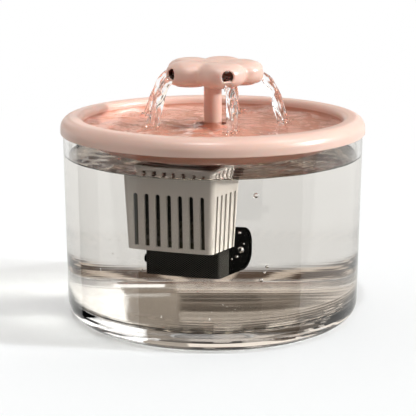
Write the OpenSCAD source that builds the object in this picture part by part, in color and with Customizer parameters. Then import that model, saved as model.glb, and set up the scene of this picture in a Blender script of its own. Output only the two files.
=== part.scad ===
// Pet water fountain: a clear round tank, a lid with a drinking basin, a flower shaped water
// outlet on a riser tube, and a pump with a filter box that both hang below the lid.
// Millimetres. +Z is up, the tank's axis is the Z axis, z = 0 is the foot and -Y is the front.

/* [Tank] */
// Outer radius of the tank at its foot
tank_r = 92.5; // [86:0.5:105]
// How much wider the tank is at its mouth than at its foot
tank_draft = 1; // [0:0.1:2]
// Height of the tank's edge
tank_h = 120; // [112:1:140]
// Wall of the tank
tank_wall = 2.8; // [2:0.1:3.6]
// Thickness of the tank's floor, a thick clear plate as on a glass bowl
tank_floor_t = 8.5; // [5:0.1:10]
// Rounding of the tank's lower outer edge
tank_corner_r = 9.9; // [7:0.1:14]
// Rounding between the tank's wall and its floor, inside
tank_inner_r = 12; // [8:0.1:16]
// Rounding of the tank's upper edge
tank_edge_r = 0.8; // [0.3:0.1:0.9]
// Height of the foot ring, which is the depth of the recess under the floor
foot_h = 1.5; // [1:0.1:3]
// Width of the foot ring
foot_w = 4; // [3:0.5:8]

/* [Lid] */
// How far the lid stands proud of the tank's mouth
lid_overhang = 1.5; // [1.3:0.1:3]
// How far the lid's skirt reaches down over the tank's edge
skirt_h = 4; // [3:0.1:6]
// Rounding of the skirt's lower edge
skirt_edge_r = 0.6; // [0.3:0.1:0.8]
// Height of the rim's top above the tank's edge
rim_rise = 6.3; // [5.5:0.1:9]
// Width of the rim, seen from above
rim_w = 13.8; // [12:0.1:17]
// Rounding of the rim's outer edge
rim_outer_r = 7; // [4:0.1:7.5]
// Rounding of the rim's inner edge
rim_inner_r = 3.5; // [2:0.1:5]
// Thickness of the rim's roof over the hollow below it
rim_roof = 3.3; // [2.4:0.1:4]
// Wall of the basin
lid_wall = 2.2; // [1.6:0.1:2.8]
// Depth of the basin below the rim's top
basin_depth = 17.1; // [14:0.1:20]
// Radius of the flat part of the basin's floor
basin_floor_r = 66; // [50:0.5:70]
// Height of the ring that centres the lid inside the tank
locate_h = 3.5; // [2.5:0.1:6]
// Thickness of that ring
locate_t = 1.8; // [1.2:0.1:2.4]
// Gap between the riser and the drain collar, where the water runs back
drain_gap = 3.2; // [2.6:0.1:5]
// Wall of the drain collar
collar_wall = 1.8; // [1.4:0.1:3]
// How far the drain collar's top lies below the rim's top
collar_drop = 5.7; // [4:0.1:7]
// Number of ribs that hold the riser in the drain collar
guide_ribs = 3; // [3:1:5]
// Thickness of those ribs
guide_t = 2; // [1.4:0.1:3]
// Height of those ribs
guide_h = 6; // [4:0.1:7]
// Half the width of the cable grommet at the back of the lid
grommet_r = 3.7; // [3:0.1:5]
// Radius of the grommet's hole for the pump's lead
lead_r = 1.6; // [1.2:0.1:2]
// Depth of the grommet's middle below the tank's edge
grommet_drop = 1.4; // [0.8:0.1:2]

/* [Riser] */
// Outer radius of the riser tube
riser_r = 5.6; // [5.2:0.1:7]
// Radius of the riser's bore
riser_bore_r = 3.2; // [2.6:0.1:3.4]
// Length of the riser above the lid's ribs
riser_above = 42; // [34:0.5:56]
// Length of the riser below the lid's ribs
riser_below = 51.7; // [46:0.1:60]
// How far the riser's shoulder stands proud of the tube
shoulder_w = 1.8; // [1.2:0.1:2.2]
// Height of that shoulder
shoulder_h = 2; // [1.4:0.1:3]
// Radius of the seal ring's section
seal_r = 0.6; // [0.5:0.05:0.7]
// Depth of the seal ring's middle below the riser's tip
seal_drop = 4; // [3:0.1:6]

/* [Flower head] */
// Number of petals
petals = 5; // [4:1:6]
// Radius of one petal
petal_r = 14.6; // [13:0.1:17]
// Distance of a petal's middle from the axis
petal_reach = 17.2; // [15:0.1:20]
// Height of the head
head_h = 15.2; // [14:0.1:20]
// Rounding of the petals' edges
head_edge_r = 6; // [4:0.1:6.8]
// Wall of the head
head_wall = 1.8; // [1.5:0.1:2.2]
// Direction of the first petal, counted from the front towards +X
head_turn = 16.5; // [0:0.5:40]
// Radius of a nozzle's bore
nozzle_r = 3.5; // [2:0.1:4]
// Wall of the socket that sits on the riser
socket_wall = 1.9; // [1.4:0.1:2.6]
// Gap for the water between the socket's top and the head's ceiling
outlet_gap = 2; // [1.5:0.1:3]
// Thickness of the stop that rests on the riser's tip
stop_t = 1.5; // [1:0.1:2]

/* [Pump] */
// Turn of the pump and the filter box about the riser
core_turn = -22; // [-40:1:0]
// Width of the pump
pump_w = 39.5; // [36:0.5:46]
// Depth of the pump's body, without the sponge
pump_d = 27.9; // [26:0.1:32]
// Height of the pump's body
pump_h = 27; // [25:0.1:32]
// Wall of the pump's housing
pump_wall = 1.5; // [1.2:0.1:2]
// Rounding of the pump's rear edges
pump_corner_r = 10.5; // [4:0.1:12]
// How far the pump reaches behind the riser's axis
pump_rear = 8; // [7:0.1:10]
// Distance of the riser's axis from the pump's left side
pump_left = 22.7; // [20:0.1:24]
// Depth of the intake cover, which is the pump's right part
cover_w = 10.5; // [8:0.1:12]
// Height of the outlet nipple
nipple_h = 12; // [9:0.1:16]
// Outer radius of the outlet nipple
nipple_r = 3.95; // [3.6:0.05:4.3]
// Wall of the outlet nipple
nipple_wall = 1.3; // [1:0.1:1.6]
// Distance of the rotor's axis in front of the riser's axis
rotor_offset = 5.6; // [4:0.1:6.5]
// Radius of the impeller's chamber
volute_r = 11; // [10:0.1:11.2]
// Length of the impeller's chamber
volute_l = 10.2; // [9:0.1:10.6]
// Gap between the impeller's tips and the chamber's wall
impeller_gap = 1.6; // [0.8:0.1:2.5]
// Radius of the rotor's magnet
magnet_r = 5.9; // [5:0.1:6]
// Gap between the magnet and the can
rotor_gap = 0.5; // [0.4:0.05:0.6]
// Room between the pump's left side and the can's bore
back_room = 4.5; // [4:0.1:5]
// Wall of the can between the rotor and the stator
can_wall = 0.9; // [0.7:0.1:1.1]
// Radius of the rotor's shaft
shaft_r = 1; // [0.8:0.05:1.2]
// Radius of the shaft's bushes
bush_r = 3; // [2.5:0.1:3.2]
// Length of a bush
bush_l = 1.6; // [1.2:0.1:2]
// Number of impeller blades
blades = 6; // [4:1:8]
// Thickness of a blade
blade_t = 1.1; // [0.8:0.1:1.6]
// Length of the impeller's blades along the shaft
blade_l = 5.6; // [4:0.1:6]
// Number of stator poles
poles = 6; // [4:2:8]
// Width of a stator pole
pole_w = 2; // [1.4:0.1:2.4]
// Length of the stator along the shaft
stator_l = 8; // [6:0.1:9]
// Thickness of the stator's outer ring
yoke_t = 1.2; // [0.9:0.1:1.5]
// Thickness of the driver board
board_t = 1; // [0.8:0.1:1.6]
// Number of intake slots in the cover's front
intake_slots = 4; // [2:1:5]
// Width of an intake slot
intake_slot_w = 2.4; // [1.6:0.1:3]
// Radius of the pegs that hold the sponge
peg_r = 1.5; // [1.2:0.1:2]
// Length of those pegs
peg_l = 8; // [5:0.1:10]
// Length of the cable gland
gland_l = 6; // [4:0.1:9]

/* [Sponge] */
// Depth of the sponge
sponge_d = 12.9; // [11:0.1:16]
// Height of the sponge
sponge_h = 19; // [15:0.1:22]
// Rounding of the sponge's upright edges
sponge_corner_r = 1.2; // [0.5:0.1:3]

/* [Filter box] */
// Width of the filter box at its top
box_w = 52; // [46:0.5:58]
// Depth of the filter box at its top
box_d = 36.5; // [32:0.5:40]
// How far each side draws in from top to bottom
box_taper = 2; // [0:0.1:3]
// Wall of the filter box
box_wall = 1.8; // [1.4:0.1:2.4]
// Rounding of the box's upright edges
box_corner_r = 3; // [2:0.1:5]
// Gap between the box's top and the underside of the basin
box_drop = 4.7; // [3:0.1:10]
// Distance from the riser's axis to the box's rear wall
box_back = 21.5; // [19:0.1:26]
// Sideways offset of the box's middle
box_shift = -2; // [-6:0.5:6]
// Height of the plain band above the slots
band_h = 14.3; // [8:0.1:20]
// Height of the solid edge below the front slots
sill_h = 2.6; // [2:0.1:6]
// Width of a front slot
front_slot_w = 2.5; // [1.5:0.1:3.5]
// Number of front slots
front_slots = 7; // [4:1:7]
// Distance from one front slot to the next
front_pitch = 6.25; // [5:0.05:6.5]
// Width of a side slot
side_slot_w = 2.2; // [1.5:0.1:3]
// Number of side slots
side_slots = 5; // [3:1:5]
// Distance from one side slot to the next
side_pitch = 5.9; // [4.5:0.1:6]
// Height of the fork that holds the box to the riser
fork_h = 12; // [8:0.5:16]
// Wall of the fork beside the riser
fork_wall = 1.8; // [1.4:0.1:3]
// Thickness of the web that carries the fork
fork_web = 4; // [2.5:0.1:6]

/* [Filter cartridge] */
// Wall of the cartridge's frame
frame_wall = 1.2; // [1:0.1:1.6]
// Height of the frame's bands at its top and bottom
frame_band = 4; // [3:0.1:6]
// Width of the frame's corner strips
frame_post = 4; // [3:0.1:6]
// Thickness of the cotton pad at the bottom
cotton_t = 5; // [3:0.1:8]
// Thickness of the resin layer
resin_t = 10; // [6:0.1:14]
// Thickness of the foam pad at the top
foam_t = 5.6; // [4:0.1:8]
// Gap between two filter layers
layer_gap = 0.2; // [0.1:0.05:0.5]

/* [Clearances] */
// Gap between pieces that move apart
gap = 0.3; // [0.25:0.05:0.4]
// Radial clearance of a running or push fit
fit = 0.05; // [0.03:0.01:0.08]
// Gap between the filter box and the sponge below it
shelf_gap = 0.5; // [0.4:0.1:1]

/* [Hidden] */
$fn = 96;
overlap = 0.5;                       // how far a cut or a joined piece reaches into its neighbour
hull_skin = 0.1;                     // thickness of the plates that a tapered block is drawn over

// tank
tank_mouth_r = tank_r + tank_draft;
tank_floor_z = foot_h + tank_floor_t;
corner_c = tank_r - tank_corner_r;   // radius at which the tank's lower rounding starts
inner_corner_c = tank_r - tank_wall - tank_inner_r;
foot_inner_r = corner_c - foot_w;

// lid
seat_z = tank_h + gap;
lid_r = tank_mouth_r + lid_overhang;
skirt_in_r = tank_mouth_r + gap;
locate_r = tank_mouth_r - tank_wall - gap;
rim_top = tank_h + rim_rise;
rim_low = tank_h - skirt_h;
rim_round = min(rim_outer_r, rim_top - rim_low - skirt_edge_r);
basin_r = lid_r - rim_w;
basin_z = rim_top - basin_depth;
tray_z = basin_z - lid_wall;
basin_oval_h = basin_depth - rim_inner_r;
collar_r = riser_r + drain_gap;
collar_top = rim_top - collar_drop;
guide_top = tray_z + guide_h;
grommet_z = tank_h - grommet_drop;

// riser
riser_low = guide_top - riser_below;
riser_tip = guide_top + riser_above;
counterbore_r = nipple_r + fit;      // the riser's lower end is counterbored over the nipple
seal_z = riser_tip - seal_drop;
socket_bore_r = riser_r + 3 * fit;
seal_c = socket_bore_r - fit - seal_r;
groove_r = seal_c - seal_r - fit;
groove_half = seal_r + 2 * fit;

// flower head
socket_depth = head_h - head_wall - outlet_gap - stop_t;
head_z = riser_tip + gap - socket_depth;
head_hub_r = petal_reach * cos(180 / petals);
head_flat_r = petal_r - head_edge_r; // a petal's flat part, inside its rounded edges
chamber_step = 2;                    // the chamber is this much narrower where the edges are rounded
chamber_r = petal_r - head_wall - chamber_step;
chamber_half = head_h / 2 - head_edge_r + chamber_step / 2; // half the height of its wide part

// pump, in the frame of the riser's axis: u to the right, v to the back
pump_z = riser_low - gap - pump_h;
pump_u0 = -pump_left;
pump_u1 = pump_w - pump_left;
pump_v0 = pump_rear - pump_d;
cover_u = pump_u1 - cover_w;
body_u1 = cover_u - gap;
pump_top = pump_z + pump_h;
rotor_v = -rotor_offset;
rotor_z = pump_z + pump_h / 2;
volute_u = body_u1 - volute_l;       // left end of the impeller's chamber
can_bore_r = magnet_r + rotor_gap;
can_r = can_bore_r + can_wall;
can_u = pump_u0 + back_room;         // blind end of the can's bore
can_end_t = 2;
partition_u = volute_u - pump_wall;
stator_u = (can_u + partition_u - stator_l) / 2;
stator_r = pump_h / 2 - pump_wall - gap;
magnet_u0 = can_u + bush_l / 2 + gap;
impeller_r = volute_r - impeller_gap;
disc_u = volute_u + 2 * gap;         // the impeller's disc runs clear of the chamber's end
disc_t = 1.2;
hub_r = bush_r;
shaft_u1 = cover_u + bush_l / 2 - fit;
seat_wall = 1.2;                     // wall round the front bush
eye_w = 1.8;                         // width of the intake eye, round the front bush
eye_r = bush_r + seat_wall + eye_w;
spider_t = 2;                        // thickness of the ribs that hold the front bush
line_depth = 0.5;                    // groove that follows the outline of the cover's face
line_inset = 2.2;
line_w = 0.8;
gland_wall = 1;
gland_inset = 6;                     // from the housing's front and bottom to the gland's middle
collar_t = 1.6;                      // collar of the cable gland
board_margin = 4;                    // the driver board ends this far from the housing's top and bottom
coil_gap = 0.5;                      // from the can to the windings
wire_t = 0.8;                        // thickness of a winding beside its pole
outlet_r = nipple_r - nipple_wall;
sponge_v1 = pump_v0 - gap;
sponge_v0 = sponge_v1 - sponge_d;
peg_z = pump_z + sponge_h / 2;

// filter box
box_z = pump_z + sponge_h + shelf_gap;
box_top = tray_z - box_drop;
box_h = box_top - box_z;
box_v = -box_back - box_d / 2;
slot_top = box_top - band_h;
fork_z = box_top - band_h - fork_h / 2;
fork_in = riser_r + gap;
fork_out = fork_in + fork_wall;
frame_w = box_w - 2 * (box_taper + box_wall + gap);
frame_d = box_d - 2 * (box_taper + box_wall + gap);
frame_z = box_z + box_wall + gap;
frame_drop = 1.2;                    // the cartridge ends this far below the box's top
frame_top = box_top - frame_drop;
frame_corner_r = box_corner_r - box_wall / 2 - gap;
grid_pitch = 7;                      // holes in the cartridge's floor
grid_r = 2.3;
media_w = frame_w - 2 * (frame_wall + fit);
media_d = frame_d - 2 * (frame_wall + fit);
cotton_z = frame_z + frame_wall;
resin_z = cotton_z + cotton_t + layer_gap;
carbon_z = resin_z + resin_t + layer_gap;
foam_z = frame_top - foam_t;

// ---- helpers ----

function oval(c, rx, ry, from, to, steps = 12) =
    [for (i = [0 : steps]) let (a = from + (to - from) * i / steps) [c[0] + rx * cos(a), c[1] + ry * sin(a)]];

function arc(c, r, from, to, steps = 8) = oval(c, r, r, from, to, steps);

// Turns the pump and the filter box about the riser's axis.
module core() {
    rotate([0, 0, core_turn]) children();
}

// A child's x, y and z run along v, Z and u, from the place (u, v, z).
module along_u(u, v = 0, z = 0) {
    translate([u, v, z]) rotate([90, 0, 90]) children();
}

// A block from one corner to the opposite corner.
module block(low, high) {
    translate(low) cube(high - low);
}

module disc_at(z, r, h) {
    translate([0, 0, z]) cylinder(r = r, h = h);
}

// ---- tank ----

module tank_notch() {
    translate([0, corner_c, grommet_z]) rotate([-90, 0, 0]) cylinder(r = grommet_r + gap, h = lid_r);
    block([-grommet_r - gap, corner_c, grommet_z], [grommet_r + gap, lid_r, tank_h + overlap]);
}

module tank() {
    color("#E8EAE8", 0.35)
    difference() {
        rotate_extrude() polygon(concat(
            [[0, foot_h], [foot_inner_r - foot_h, foot_h], [foot_inner_r, 0]],
            arc([corner_c, tank_corner_r], tank_corner_r, -90, 0, 10),
            arc([tank_mouth_r - tank_edge_r, tank_h - tank_edge_r], tank_edge_r, 0, 90, 3),
            arc([tank_mouth_r - tank_wall + tank_edge_r, tank_h - tank_edge_r], tank_edge_r, 90, 180, 3),
            arc([inner_corner_c, tank_floor_z + tank_inner_r], tank_inner_r, 0, -90, 12),
            [[0, tank_floor_z]]));
        tank_notch();
    }
}

// ---- lid ----

module lid_section() {
    basin_c = [basin_floor_r, rim_top - rim_inner_r];
    basin_rx = basin_r - basin_floor_r;
    polygon(concat(
        [[collar_r, tray_z], [collar_r, collar_top], [collar_r + collar_wall, collar_top],
         [collar_r + collar_wall, basin_z]],
        oval(basin_c, basin_rx, basin_oval_h, -90, 0),
        arc([basin_r + rim_inner_r, rim_top - rim_inner_r], rim_inner_r, 180, 90),
        arc([lid_r - rim_round, rim_top - rim_round], rim_round, 90, 0, 10),
        arc([lid_r - skirt_edge_r, rim_low + skirt_edge_r], skirt_edge_r, 0, -90, 3),
        [[skirt_in_r, rim_low], [skirt_in_r, seat_z], [locate_r, seat_z], [locate_r, tank_h - locate_h],
         [locate_r - locate_t, tank_h - locate_h], [locate_r - locate_t, rim_top - rim_roof],
         [basin_r + lid_wall, rim_top - rim_roof]],
        oval(basin_c, basin_rx + lid_wall, basin_oval_h + lid_wall, 0, -90)));
}

module guide_rib() {
    block([riser_r + fit, -guide_t / 2, tray_z],
          [collar_r + collar_wall / 2, guide_t / 2, guide_top]);
}

module lid_tray() {
    color("#F0CFC2")
    difference() {
        union() {
            rotate_extrude() lid_section();
            for (i = [0 : guide_ribs - 1]) rotate([0, 0, 90 + i * 360 / guide_ribs]) guide_rib();
        }
        block([-grommet_r - fit, locate_r - locate_t - 1, rim_low - grommet_drop - grommet_r],
              [grommet_r + fit, lid_r + 1, seat_z]);
    }
}

module cable_grommet() {
    inner_r = locate_r - locate_t;
    color("#D9B9AE")
    difference() {
        intersection() {
            rotate_extrude() translate([inner_r, 0]) square([lid_r - inner_r, seat_z]);
            union() {
                translate([0, corner_c, grommet_z]) rotate([-90, 0, 0]) cylinder(r = grommet_r, h = lid_r);
                block([-grommet_r, corner_c, grommet_z], [grommet_r, lid_r + 1, seat_z]);
            }
        }
        translate([0, corner_c, grommet_z - lead_r / 2]) rotate([-90, 0, 0]) cylinder(r = lead_r, h = lid_r);
    }
}

// ---- riser ----

module riser_tube() {
    color("#EFC9BB")
    difference() {
        union() {
            disc_at(riser_low, riser_r, riser_tip - riser_low);
            disc_at(guide_top, riser_r + shoulder_w, shoulder_h);
        }
        disc_at(riser_low - 1, riser_bore_r, riser_tip - riser_low + 2);
        disc_at(riser_low - 1, counterbore_r, nipple_h + 1 + overlap);
        difference() {
            disc_at(seal_z - groove_half, riser_r + 1, 2 * groove_half);
            disc_at(seal_z - groove_half - 1, groove_r, 2 * groove_half + 2);
        }
    }
}

module riser_seal() {
    color("#F4F1EC") translate([0, 0, seal_z]) rotate_extrude() translate([seal_c, 0]) circle(r = seal_r);
}

// ---- flower head ----

module each_petal() {
    for (i = [0 : petals - 1])
        rotate([0, 0, head_turn - 90 + i * 360 / petals]) children();
}

// A petal: a round cushion with rounded upper and lower edges.
module petal() {
    hull() rotate_extrude($fn = 36) polygon(concat(
        [[0, 0]],
        arc([head_flat_r, head_edge_r], head_edge_r, -90, 0, 4),
        arc([head_flat_r, head_h - head_edge_r], head_edge_r, 0, 90, 4),
        [[0, head_h]]));
}

// A flat plate in the shape of the flower.
module flower_plate(r, z, h) {
    each_petal() translate([petal_reach, 0, z]) cylinder(r = r, h = h);
    disc_at(z, head_hub_r, h);
}

// The water chamber: wide at mid height, narrower where the petals' edges are rounded.
module head_chamber() {
    flower_plate(petal_r - head_wall, head_z + head_h / 2 - chamber_half, 2 * chamber_half);
    flower_plate(chamber_r, head_z + head_wall, head_h - 2 * head_wall);
}

module flower_head() {
    color("#F2CDC0")
    difference() {
        union() {
            each_petal() translate([petal_reach, 0, head_z]) petal();
            disc_at(head_z, head_hub_r, head_h);
        }
        head_chamber();
        flower_plate(head_flat_r, head_z - 1, head_wall + 2);
        each_petal() translate([petal_reach, 0, head_z + head_h / 2]) rotate([0, 90, 0])
            cylinder(r = nozzle_r, h = petal_r + 1);
    }
}

module flower_base() {
    color("#EBC3B5")
    difference() {
        union() {
            flower_plate(head_flat_r - fit, head_z, head_wall);
            disc_at(head_z, socket_bore_r + socket_wall, socket_depth + stop_t);
        }
        disc_at(head_z - 1, socket_bore_r, socket_depth + 1);
        disc_at(head_z, riser_bore_r, head_h);
    }
}

// ---- pump ----

// The pump's outline seen from its side, drawn in v and z and drawn in by inset.
module side_outline(inset = 0) {
    r = pump_corner_r - inset;
    v_c = pump_rear - pump_corner_r;
    polygon(concat(
        [[pump_v0 + inset, pump_z + inset]],
        arc([v_c, pump_z + pump_corner_r], r, -90, 0, 10),
        arc([v_c, pump_top - pump_corner_r], r, 0, 90, 10),
        [[pump_v0 + inset, pump_top - inset]]));
}

module side_block(u0, u1, inset = 0) {
    along_u(u0) linear_extrude(height = u1 - u0) side_outline(inset);
}

// A round bar on the rotor's axis.
module rotor_bar(u0, u1, r) {
    along_u(u0, rotor_v, rotor_z) cylinder(r = r, h = u1 - u0);
}

module pegs() {
    for (u = [pump_u0 / 2, body_u1 / 2])
        translate([u, pump_v0 - peg_l, peg_z]) rotate([-90, 0, 0]) cylinder(r = peg_r, h = peg_l + pump_wall);
}

module pump_housing() {
    color("#1C1C1C") core()
    difference() {
        union() {
            difference() {
                side_block(pump_u0, body_u1);
                side_block(pump_u0 - 1, partition_u, pump_wall);
                rotor_bar(volute_u, body_u1 + 1, volute_r);
            }
            rotor_bar(can_u - can_end_t, partition_u + overlap, can_r);
            disc_at(pump_top - overlap, nipple_r, nipple_h + overlap);
            pegs();
        }
        rotor_bar(can_u, volute_u + overlap, can_bore_r);
        rotor_bar(can_u - bush_l / 2, can_u + overlap, bush_r + fit);
        disc_at(rotor_z + volute_r / 2, outlet_r, pump_h);
    }
}

module back_cover() {
    color("#242424") core()
    difference() {
        side_block(pump_u0, pump_u0 + pump_wall, pump_wall + fit);
        gland_bar(pump_u0 - 1, pump_u0 + pump_wall + 1, lead_r + gland_wall + fit);
    }
}

// A round bar on the cable gland's axis.
module gland_bar(u0, u1, r) {
    along_u(u0, pump_v0 + gland_inset, pump_z + gland_inset) cylinder(r = r, h = u1 - u0);
}

module cable_gland() {
    color("#2B2B2B") core()
    difference() {
        union() {
            gland_bar(pump_u0 - gland_l, pump_u0 + pump_wall, lead_r + gland_wall);
            gland_bar(pump_u0 - collar_t, pump_u0, lead_r + 2 * gland_wall);
        }
        gland_bar(pump_u0 - gland_l - 1, pump_u0 + pump_wall + 1, lead_r);
    }
}

module driver_board() {
    v = pump_v0 + pump_wall + fit;
    color("#2E6B3C") core()
        block([can_u, v, pump_z + board_margin], [partition_u - 1, v + board_t, pump_top - board_margin]);
}

module stator_core() {
    color("#8F9499") core()
    difference() {
        rotor_bar(stator_u, stator_u + stator_l, stator_r);
        difference() {
            rotor_bar(stator_u - 1, stator_u + stator_l + 1, stator_r - yoke_t);
            for (i = [0 : poles - 1]) along_u(stator_u - 2, rotor_v, rotor_z) rotate([0, 0, i * 360 / poles])
                block([can_r, -pole_w / 2, 0], [stator_r, pole_w / 2, stator_l + 4]);
        }
        rotor_bar(stator_u - 1, stator_u + stator_l + 1, can_r + fit);
    }
}

module stator_coils() {
    r0 = can_r + coil_gap;
    r1 = stator_r - yoke_t - gap;
    side = pole_w / 2 + fit;
    color("#B8692E") core()
    for (i = [0 : poles - 1])
        along_u(stator_u - 1, rotor_v, rotor_z) rotate([0, 0, i * 360 / poles]) difference() {
            block([r0, -side - wire_t, 0], [r1, side + wire_t, stator_l + 2]);
            block([r0 - 1, -side, 1 - fit], [r1 + 1, side, stator_l + 1 + fit]);
        }
}

module rotor_magnet() {
    color("#4A4A4E") core()
    difference() {
        rotor_bar(magnet_u0, partition_u, magnet_r);
        rotor_bar(magnet_u0 - 1, partition_u + 1, shaft_r + fit);
    }
}

module impeller() {
    color("#E6E4DC") core()
    difference() {
        union() {
            rotor_bar(partition_u, disc_u + blade_l, hub_r);
            rotor_bar(disc_u, disc_u + disc_t, impeller_r);
            for (i = [0 : blades - 1]) along_u(disc_u, rotor_v, rotor_z) rotate([0, 0, i * 360 / blades])
                block([hub_r - overlap, -blade_t / 2, 0], [impeller_r - overlap, blade_t / 2, blade_l]);
        }
        rotor_bar(partition_u - 1, disc_u + blade_l + 1, shaft_r + fit);
    }
}

module rotor_shaft() {
    color("#F2F2F0") core() rotor_bar(can_u - bush_l / 2, shaft_u1, shaft_r);
}

module bush(u) {
    difference() {
        rotor_bar(u, u + bush_l, bush_r);
        rotor_bar(u - 1, u + bush_l + 1, shaft_r + fit);
    }
}

module rear_bush() {
    color("#3A3A3A") core() bush(can_u - bush_l / 2);
}

module front_bush() {
    color("#3A3A3A") core() bush(cover_u - bush_l / 2);
}

module pump_cover() {
    color("#181818") core()
    difference() {
        union() {
            difference() {
                side_block(cover_u, pump_u1);
                side_block(cover_u + pump_wall, pump_u1 - pump_wall, pump_wall);
                rotor_bar(cover_u - 1, cover_u + pump_wall + 1, eye_r);
                for (i = [0 : intake_slots - 1])
                    intake_slot(pump_z + pump_h * (i + 1) / (intake_slots + 1));
                face_line();
            }
            for (i = [0 : 2]) along_u(cover_u, rotor_v, rotor_z) rotate([0, 0, 90 + i * 120])
                block([bush_r + overlap, -spider_t / 2, 0], [eye_r + overlap, spider_t / 2, pump_wall]);
            rotor_bar(cover_u - bush_l / 2, cover_u + pump_wall, bush_r + seat_wall);
        }
        rotor_bar(cover_u - bush_l, cover_u + bush_l / 2, bush_r + fit);
    }
}

module intake_slot(z) {
    block([cover_u + 2 * pump_wall, pump_v0 - 1, z - intake_slot_w / 2],
          [pump_u1 - 2 * pump_wall, pump_v0 + pump_wall + 1, z + intake_slot_w / 2]);
}

// A fine groove that follows the outline of the cover's face.
module face_line() {
    difference() {
        side_block(pump_u1 - line_depth, pump_u1 + 1, line_inset);
        side_block(pump_u1 - 1, pump_u1 + 2, line_inset + line_w);
    }
}

module pump_sponge() {
    color("#121212") core()
    difference() {
        union() {
            block([pump_u0, sponge_v0 + sponge_corner_r, pump_z], [pump_u1, sponge_v1, pump_z + sponge_h]);
            block([pump_u0 + sponge_corner_r, sponge_v0, pump_z],
                  [pump_u1 - sponge_corner_r, sponge_v1, pump_z + sponge_h]);
            for (u = [pump_u0 + sponge_corner_r, pump_u1 - sponge_corner_r])
                translate([u, sponge_v0 + sponge_corner_r, pump_z]) cylinder(r = sponge_corner_r, h = sponge_h);
        }
        for (u = [pump_u0 / 2, body_u1 / 2])
            translate([u, pump_v0 - peg_l - gap, peg_z]) rotate([-90, 0, 0])
                cylinder(r = peg_r + gap, h = peg_l + 1);
    }
}

// ---- filter box ----

// A plate with rounded corners, centred on the box's middle.
module box_plate(w, d, r, z) {
    for (su = [-1, 1], sv = [-1, 1])
        translate([box_shift + su * (w / 2 - r), box_v + sv * (d / 2 - r), z])
            cylinder(r = r, h = hull_skin, $fn = 32);
}

// The box's form, drawn in by inset on its sides and cut at the two heights.
module box_form(inset, z0, z1) {
    hull() {
        box_plate(box_w - 2 * (box_taper * (box_top - z0) / box_h + inset),
                  box_d - 2 * (box_taper * (box_top - z0) / box_h + inset), box_corner_r - inset / 2, z0);
        box_plate(box_w - 2 * (box_taper * (box_top - z1) / box_h + inset),
                  box_d - 2 * (box_taper * (box_top - z1) / box_h + inset), box_corner_r - inset / 2,
                  z1 - hull_skin);
    }
}

module front_slot(u) {
    front = box_v - box_d / 2;
    r = front_slot_w / 2;
    reach = box_taper + box_wall + 1;
    block([u - r, front - 1, box_z + sill_h], [u + r, front + reach, slot_top - r]);
    translate([u, front - 1, slot_top - r]) rotate([-90, 0, 0]) cylinder(r = r, h = reach + 1);
}

module side_slot_pair(v) {
    depth = box_taper + box_wall;
    for (side = [-1, 1]) {
        edge = box_shift + side * box_w / 2;
        block([min(edge + side, edge - side * depth), v - side_slot_w / 2, box_z - 1],
              [max(edge + side, edge - side * depth), v + side_slot_w / 2, slot_top]);
    }
}

module fork() {
    difference() {
        union() {
            disc_at(fork_z, fork_out, fork_h);
            block([-fork_out, 0, fork_z], [fork_out, riser_r / 2, fork_z + fork_h]);
            block([-fork_web / 2, -box_back - box_wall, fork_z], [fork_web / 2, -fork_in - 1, fork_z + fork_h]);
        }
        disc_at(fork_z - 1, fork_in, fork_h + 2);
        block([-fork_in, 0, fork_z - 1], [fork_in, fork_out + 1, fork_z + fork_h + 1]);
    }
}

module filter_box() {
    first_front = box_shift - front_pitch * (front_slots - 1) / 2;
    first_side = box_v - side_pitch * (side_slots - 1) / 2;
    color("#A39B8F") core()
    difference() {
        union() {
            box_form(0, box_z, box_top);
            fork();
        }
        box_form(box_wall, box_z + box_wall, box_top + 1);
        for (i = [0 : front_slots - 1]) front_slot(first_front + i * front_pitch);
        for (i = [0 : side_slots - 1]) side_slot_pair(first_side + i * side_pitch);
    }
}

// ---- filter cartridge ----

// A block centred on the box's middle.
module centred_block(w, d, z0, z1) {
    block([box_shift - w / 2, box_v - d / 2, z0], [box_shift + w / 2, box_v + d / 2, z1]);
}

// The same with rounded upright edges.
module rounded_block(w, d, z0, z1, r) {
    centred_block(w - 2 * r, d, z0, z1);
    centred_block(w, d - 2 * r, z0, z1);
    for (su = [-1, 1], sv = [-1, 1])
        translate([box_shift + su * (w / 2 - r), box_v + sv * (d / 2 - r), z0]) cylinder(r = r, h = z1 - z0);
}

module filter_frame() {
    color("#C9C4B8") core()
    difference() {
        rounded_block(frame_w, frame_d, frame_z, frame_top, frame_corner_r);
        centred_block(frame_w - 2 * frame_wall, frame_d - 2 * frame_wall, frame_z + frame_wall, frame_top + 1);
        centred_block(frame_w + 2, frame_d - 2 * frame_post, frame_z + frame_band, frame_top - frame_band);
        centred_block(frame_w - 2 * frame_post, frame_d + 2, frame_z + frame_band, frame_top - frame_band);
        for (u = [-frame_w / 2 + grid_pitch : grid_pitch : frame_w / 2 - grid_pitch])
            for (v = [-frame_d / 2 + grid_pitch : grid_pitch : frame_d / 2 - grid_pitch])
                translate([box_shift + u, box_v + v, frame_z - 1]) cylinder(r = grid_r, h = frame_wall + 2);
    }
}

module cotton_pad() {
    color("#D8D5CC") core() centred_block(media_w, media_d, cotton_z, cotton_z + cotton_t);
}

module resin_pack() {
    color("#6E6A58") core() centred_block(media_w, media_d, resin_z, resin_z + resin_t);
}

module carbon_pack() {
    color("#3E3A30") core() centred_block(media_w, media_d, carbon_z, foam_z - layer_gap);
}

module foam_pad() {
    color("#1A1816") core() centred_block(media_w, media_d, foam_z, foam_z + foam_t);
}

tank();
lid_tray();
cable_grommet();
riser_tube();
riser_seal();
flower_head();
flower_base();
pump_housing();
back_cover();
cable_gland();
driver_board();
stator_core();
stator_coils();
rotor_magnet();
impeller();
rotor_shaft();
rear_bush();
front_bush();
pump_cover();
pump_sponge();
filter_box();
filter_frame();
cotton_pad();
resin_pack();
carbon_pack();
foam_pad();
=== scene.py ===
from math import cos, pi, radians, sin, sqrt, tau

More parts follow.
